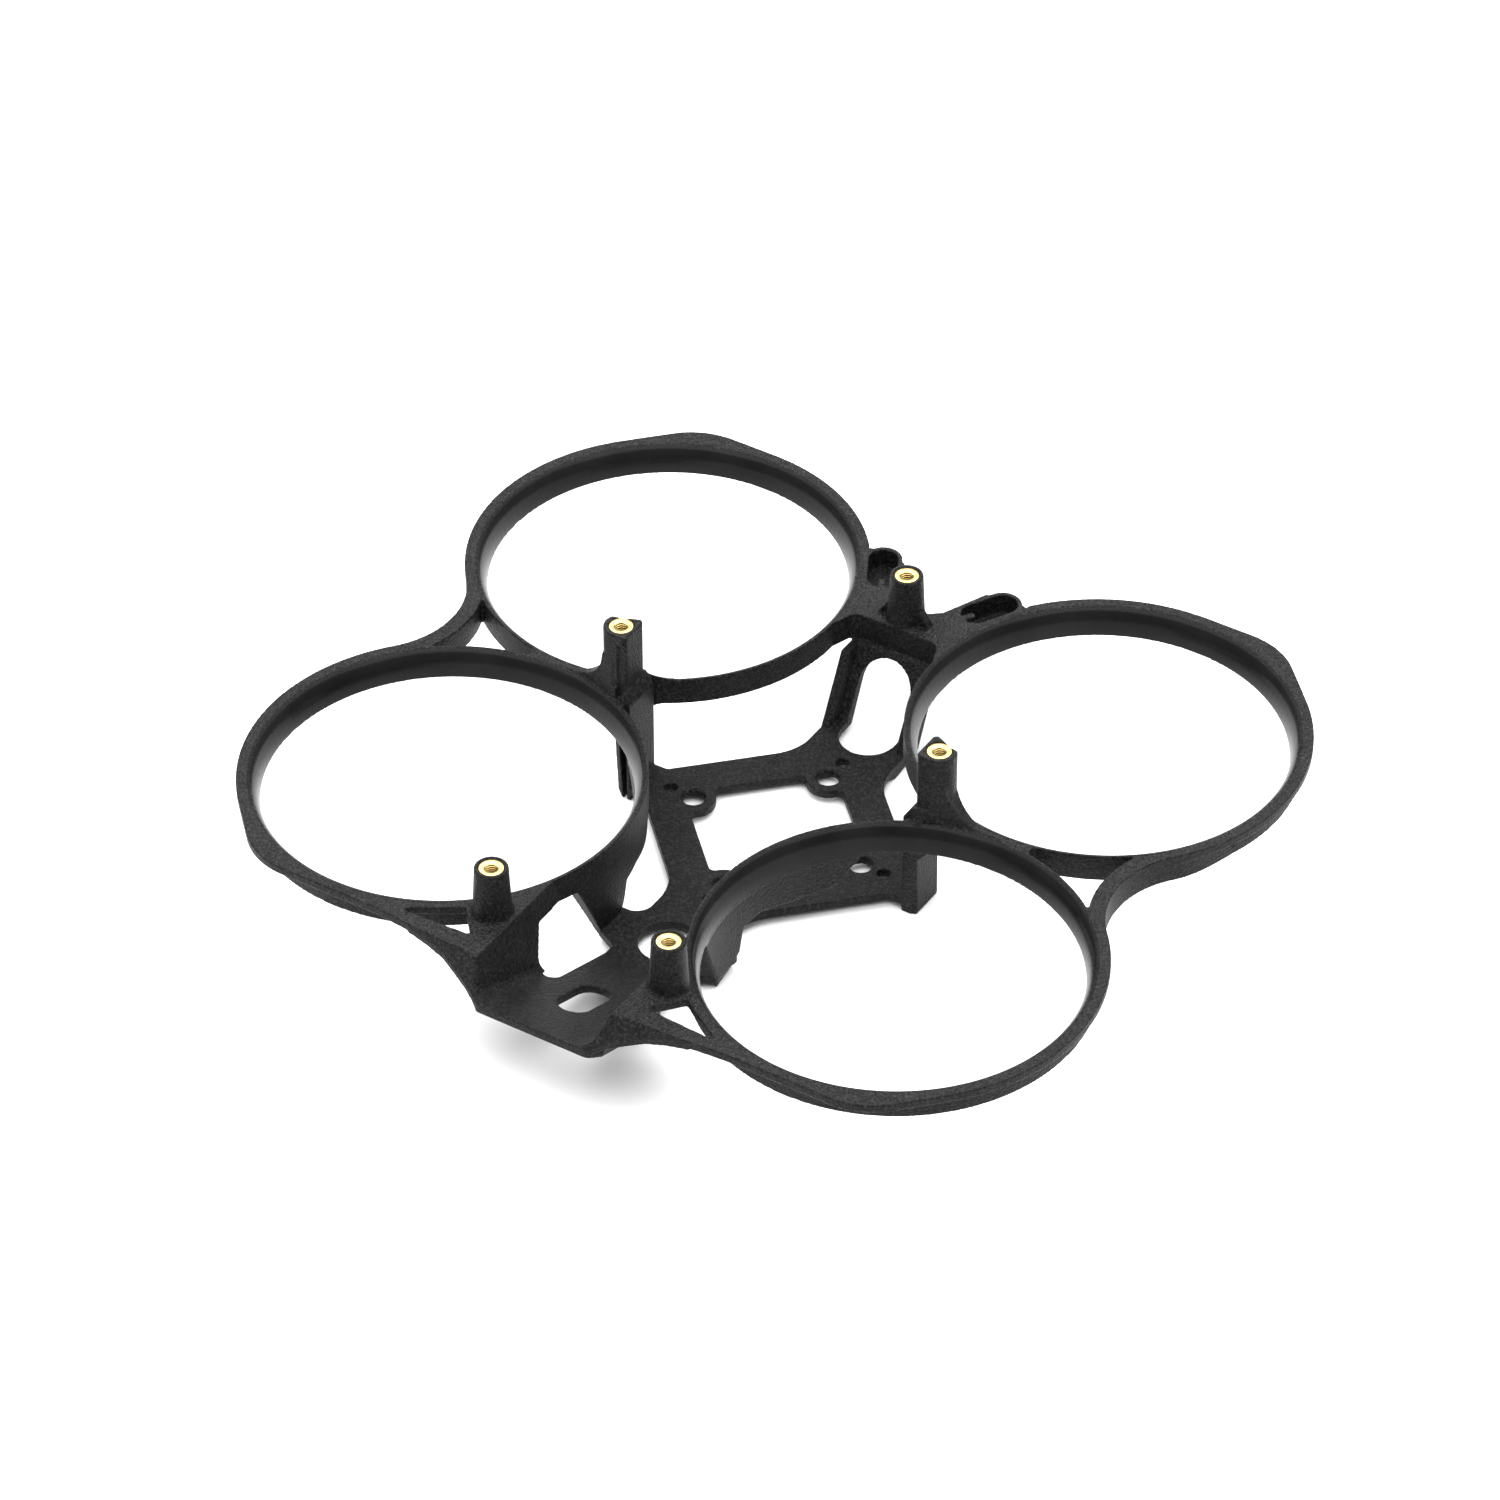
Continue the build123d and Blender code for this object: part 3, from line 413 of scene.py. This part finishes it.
class Tree:
    """Short calls for building a node material."""

    def __init__(self, name):
        self.material = bpy.data.materials.new(name)
        self.material.use_nodes = True
        self.nodes = self.material.node_tree.nodes
        self.links = self.material.node_tree.links
        self.shader = self.nodes["Principled BSDF"]

    def add(self, kind, inputs=None, **settings):
        """A new shader node with its inputs, values or sockets, and settings."""
        node = self.nodes.new("ShaderNode" + kind)
        for key, value in settings.items():
            setattr(node, key, value)
        for key, value in (inputs or {}).items():
            self.put(node.inputs[key], value)
        return node

    def put(self, socket, value):
        if isinstance(value, bpy.types.NodeSocket):
            self.links.new(value, socket)
        else:
            socket.default_value = value

    def math(self, operation, *values):
        node = self.add("Math", operation=operation)
        for socket, value in zip(node.inputs, values):
            self.put(socket, value)
        return node.outputs[0]

    def product(self, *values):
        result = values[0]
        for value in values[1:]:
            result = self.math("MULTIPLY", result, value)
        return result

    def span(self, value, low, high, out_low, out_high):
        """A value's way from low to high, mapped from out_low to out_high and held there."""
        node = self.add("MapRange", {
            "Value": value,
            "From Min": low,
            "From Max": high,
            "To Min": out_low,
            "To Max": out_high,
        })
        return node.outputs[0]

    def noise(self, place, scale, detail, roughness):
        node = self.add("TexNoise", {
            "Vector": place, "Scale": scale, "Detail": detail, "Roughness": roughness,
        })
        return node.outputs["Fac"]

    def mix(self, share, low, high):
        node = self.add("Mix", data_type="RGBA")
        self.put(node.inputs["Factor"], share)
        self.put(node.inputs[MIX_A], low)
        self.put(node.inputs[MIX_B], high)
        return node.outputs[MIX_RESULT]

    def millimetres(self):
        """Object coordinates in millimetres."""
        place = self.add("TexCoord").outputs["Object"]
        scaled = self.add("VectorMath", {"Vector": place, "Scale": 1 / MM}, operation="SCALE")
        return scaled.outputs[0]

    def surface(self, socket, value):
        """Sets one input of the surface shader."""
        self.put(self.shader.inputs[socket], value)


def plastic():
    """Fine matte grain, coarse leather grain on the flat tops and satin duct walls, with shade and
    highlights painted on both grains.
    """
    tree = Tree("charcoal_plastic")
    place = tree.millimetres()
    coarse = tree.add("Attribute", attribute_name="coarse_grain").outputs["Fac"]
    satin = tree.add("Attribute", attribute_name="satin").outputs["Fac"]
    matte = tree.math("SUBTRACT", 1.0, satin)
    fine = tree.noise(place, FINE_SCALE, 2.0, 0.7)
    drift = tree.noise(place, DRIFT_SCALE, 3.0, 0.55)
    pebbles = tree.add("TexVoronoi", {
        "Vector": place, "Scale": PEBBLE_SCALE, "Smoothness": 0.2, "Randomness": 1.0,
    }, feature="SMOOTH_F1").outputs["Distance"]
    wander = tree.noise(place, WANDER_SCALE, 2.0, 0.6)

    # colour: slow random drift, the fine grain as painted shade and light, painted glints on its
    # raised points, and painted highlights on the coarse grain's tops
    grain = tree.product(tree.span(fine, *FINE_BAND, -0.5, 0.5), matte)
    slow = tree.span(drift, *NOISE_BAND, *DRIFT_RANGE)
    # the drift is a real random tone; the fine grain added to it is painted shade and painted
    # light on its relief
    shade = tree.math("ADD", slow, tree.product(grain, FINE_SHADE_WEIGHT))
    # painted highlights on the fine grain's raised points
    painted_glint = tree.product(tree.span(fine, *PAINTED_GLINT_BAND, 0, PAINTED_GLINT_MOST), matte)
    # painted highlights on the tops of the coarse grain's pebbles, here and there
    top = tree.span(pebbles, *PEBBLE_BAND, 1, 0)
    painted_highlight = tree.product(top, tree.span(wander, *WANDER_BAND, 0, 1), coarse)
    colour = tree.mix(shade, PLASTIC_DARK, PLASTIC_LIGHT)
    colour = tree.mix(painted_glint, colour, PLASTIC_PAINTED_GLINT)
    colour = tree.mix(tree.product(painted_highlight, PAINTED_HIGHLIGHT_MOST), colour, PLASTIC_PAINTED_HIGHLIGHT)
    tree.surface("Base Color", colour)

    # finish: the duct walls and the coarse grain are smoother than the rest
    rough = tree.span(fine, *NOISE_BAND, *MATTE_ROUGH)
    rough = tree.math("SUBTRACT", rough, tree.product(satin, SATIN_SMOOTHER))
    rough = tree.math("SUBTRACT", rough, tree.product(coarse, COARSE_SMOOTHER))
    tree.surface("Roughness", rough)
    gloss = tree.math("ADD", MATTE_GLOSS, tree.product(coarse, COARSE_GLOSS))
    tree.surface("Specular IOR Level", gloss)

    fine_bump = tree.add("Bump", {"Strength": 1.0, "Distance": FINE_DEPTH, "Height": grain})
    leather = tree.math("SUBTRACT", tree.product(wander, WANDER_WEIGHT), pebbles)
    leather_bump = tree.add("Bump", {
        "Strength": 1.0,
        "Distance": LEATHER_DEPTH,
        "Height": tree.product(leather, coarse),
        "Normal": fine_bump.outputs[0],
    })
    tree.surface("Normal", leather_bump.outputs[0])
    return tree.material


def brass():
    """Turned brass: fine turning marks, slight stains, and painted shade down in the thread."""
    tree = Tree("turned_brass")
    place = tree.millimetres()
    turning = tree.noise(place, TURNING_SCALE, 3.0, 0.6)
    stain = tree.noise(place, STAIN_SCALE, 3.0, 0.5)
    axes = tree.add("SeparateXYZ", {"Vector": place}).outputs
    squares = [tree.math("POWER", axes[axis], 2) for axis in "XY"]
    reach = tree.math("SQRT", tree.math("ADD", *squares))

    # painted shade in the thread's roots just below the face, and in all of the bore further down
    below = tree.span(axes["Z"], *ROOT_HEIGHT, 1, 0)
    root = tree.product(tree.span(reach, *ROOT_REACH, 0, 1), below)
    deep = tree.span(axes["Z"], *DEEP_HEIGHT, DEEP_MOST, 0)
    inside = tree.span(reach, *BORE_REACH, 1, 0)
    painted_shade = tree.product(tree.math("MAXIMUM", root, deep), inside)
    face = tree.mix(tree.span(stain, *STAIN_BAND, 0, 1), BRASS_DULL, BRASS_BRIGHT)
    tree.surface("Base Color", tree.mix(painted_shade, face, BRASS_PAINTED_SHADE))
    tree.surface("Metallic", 1.0)
    tree.surface("Roughness", tree.span(turning, *NOISE_BAND, *BRASS_ROUGH))
    bump = tree.add("Bump", {
        "Strength": TURNING_STRENGTH, "Distance": TURNING_DEPTH, "Height": turning,
    })
    tree.surface("Normal", bump.outputs[0])
    return tree.material


def white_floor():
    """Plain studio white, with a little unevenness."""
    tree = Tree("white_floor")
    haze = tree.noise(tree.millimetres(), HAZE_SCALE, 2.0, 0.5)
    tree.surface("Base Color", tree.mix(haze, FLOOR_LOW, FLOOR_HIGH))
    tree.surface("Roughness", FLOOR_ROUGH)
    tree.surface("Specular IOR Level", FLOOR_GLOSS)
    return tree.material


# ---------------------------------------------------------------- stage
FLOOR_HALF = 6.0           # m
WORLD_STRENGTH = 0.55
CLIP = (0.05, 50.0)        # m


def floor():
    corners = [(-1, -1), (1, -1), (1, 1), (-1, 1)]
    mesh = bpy.data.meshes.new("studio_floor")
    mesh.from_pydata([(x * FLOOR_HALF, y * FLOOR_HALF, 0) for x, y in corners], [], [(0, 1, 2, 3)])
    mesh.materials.append(white_floor())
    obj = new_object("studio_floor", mesh)


def outward(azimuth, elevation):
    """Direction from the object. Azimuth 0 is towards -Y and a quarter turn is towards +X."""
    level = math.cos(elevation)
    return Vector((math.sin(azimuth) * level, -math.cos(azimuth) * level, math.sin(elevation)))


def soft_light(name, azimuth, elevation, distance, size, power):
    """A square soft box that faces the camera's target. Angles are in degrees."""
    away = outward(math.radians(azimuth), math.radians(elevation))
    light = bpy.data.lights.new(name, "AREA")
    light.shape = "SQUARE"
    light.size = size
    light.energy = power
    obj = new_object(name, light)
    obj.location = CAMERA_TARGET + away * distance
    obj.rotation_mode = "QUATERNION"
    obj.rotation_quaternion = away.to_track_quat("Z", "Y")


def lights():
    world = bpy.data.worlds.new("studio")
    bpy.context.scene.world = world
    world.use_nodes = True
    background = world.node_tree.nodes["Background"]
    background.inputs["Color"].default_value = (1, 1, 1, 1)
    background.inputs["Strength"].default_value = WORLD_STRENGTH
    soft_light("overhead", azimuth=32, elevation=84, distance=1.6, size=3.6, power=150)


def camera():
    data = bpy.data.cameras.new("camera")
    data.sensor_width = 36.0
    data.lens = CAMERA_LENS
    data.clip_start, data.clip_end = CLIP
    obj = new_object("camera", data)
    back = outward(CAMERA_AZIMUTH, CAMERA_ELEVATION)
    obj.location = CAMERA_TARGET + back * CAMERA_DISTANCE
    obj.rotation_mode = "QUATERNION"
    obj.rotation_quaternion = (-back).to_track_quat("-Z", "Y")
    bpy.context.scene.camera = obj


bpy.context.scene.view_settings.view_transform = "Standard"
camera()
lights()
floor()
matte = plastic()
for piece in moulding():
    piece.data.materials.append(matte)
shiny = brass()
for node in INSERTS:
    insert_piece(node).data.materials.append(shiny)
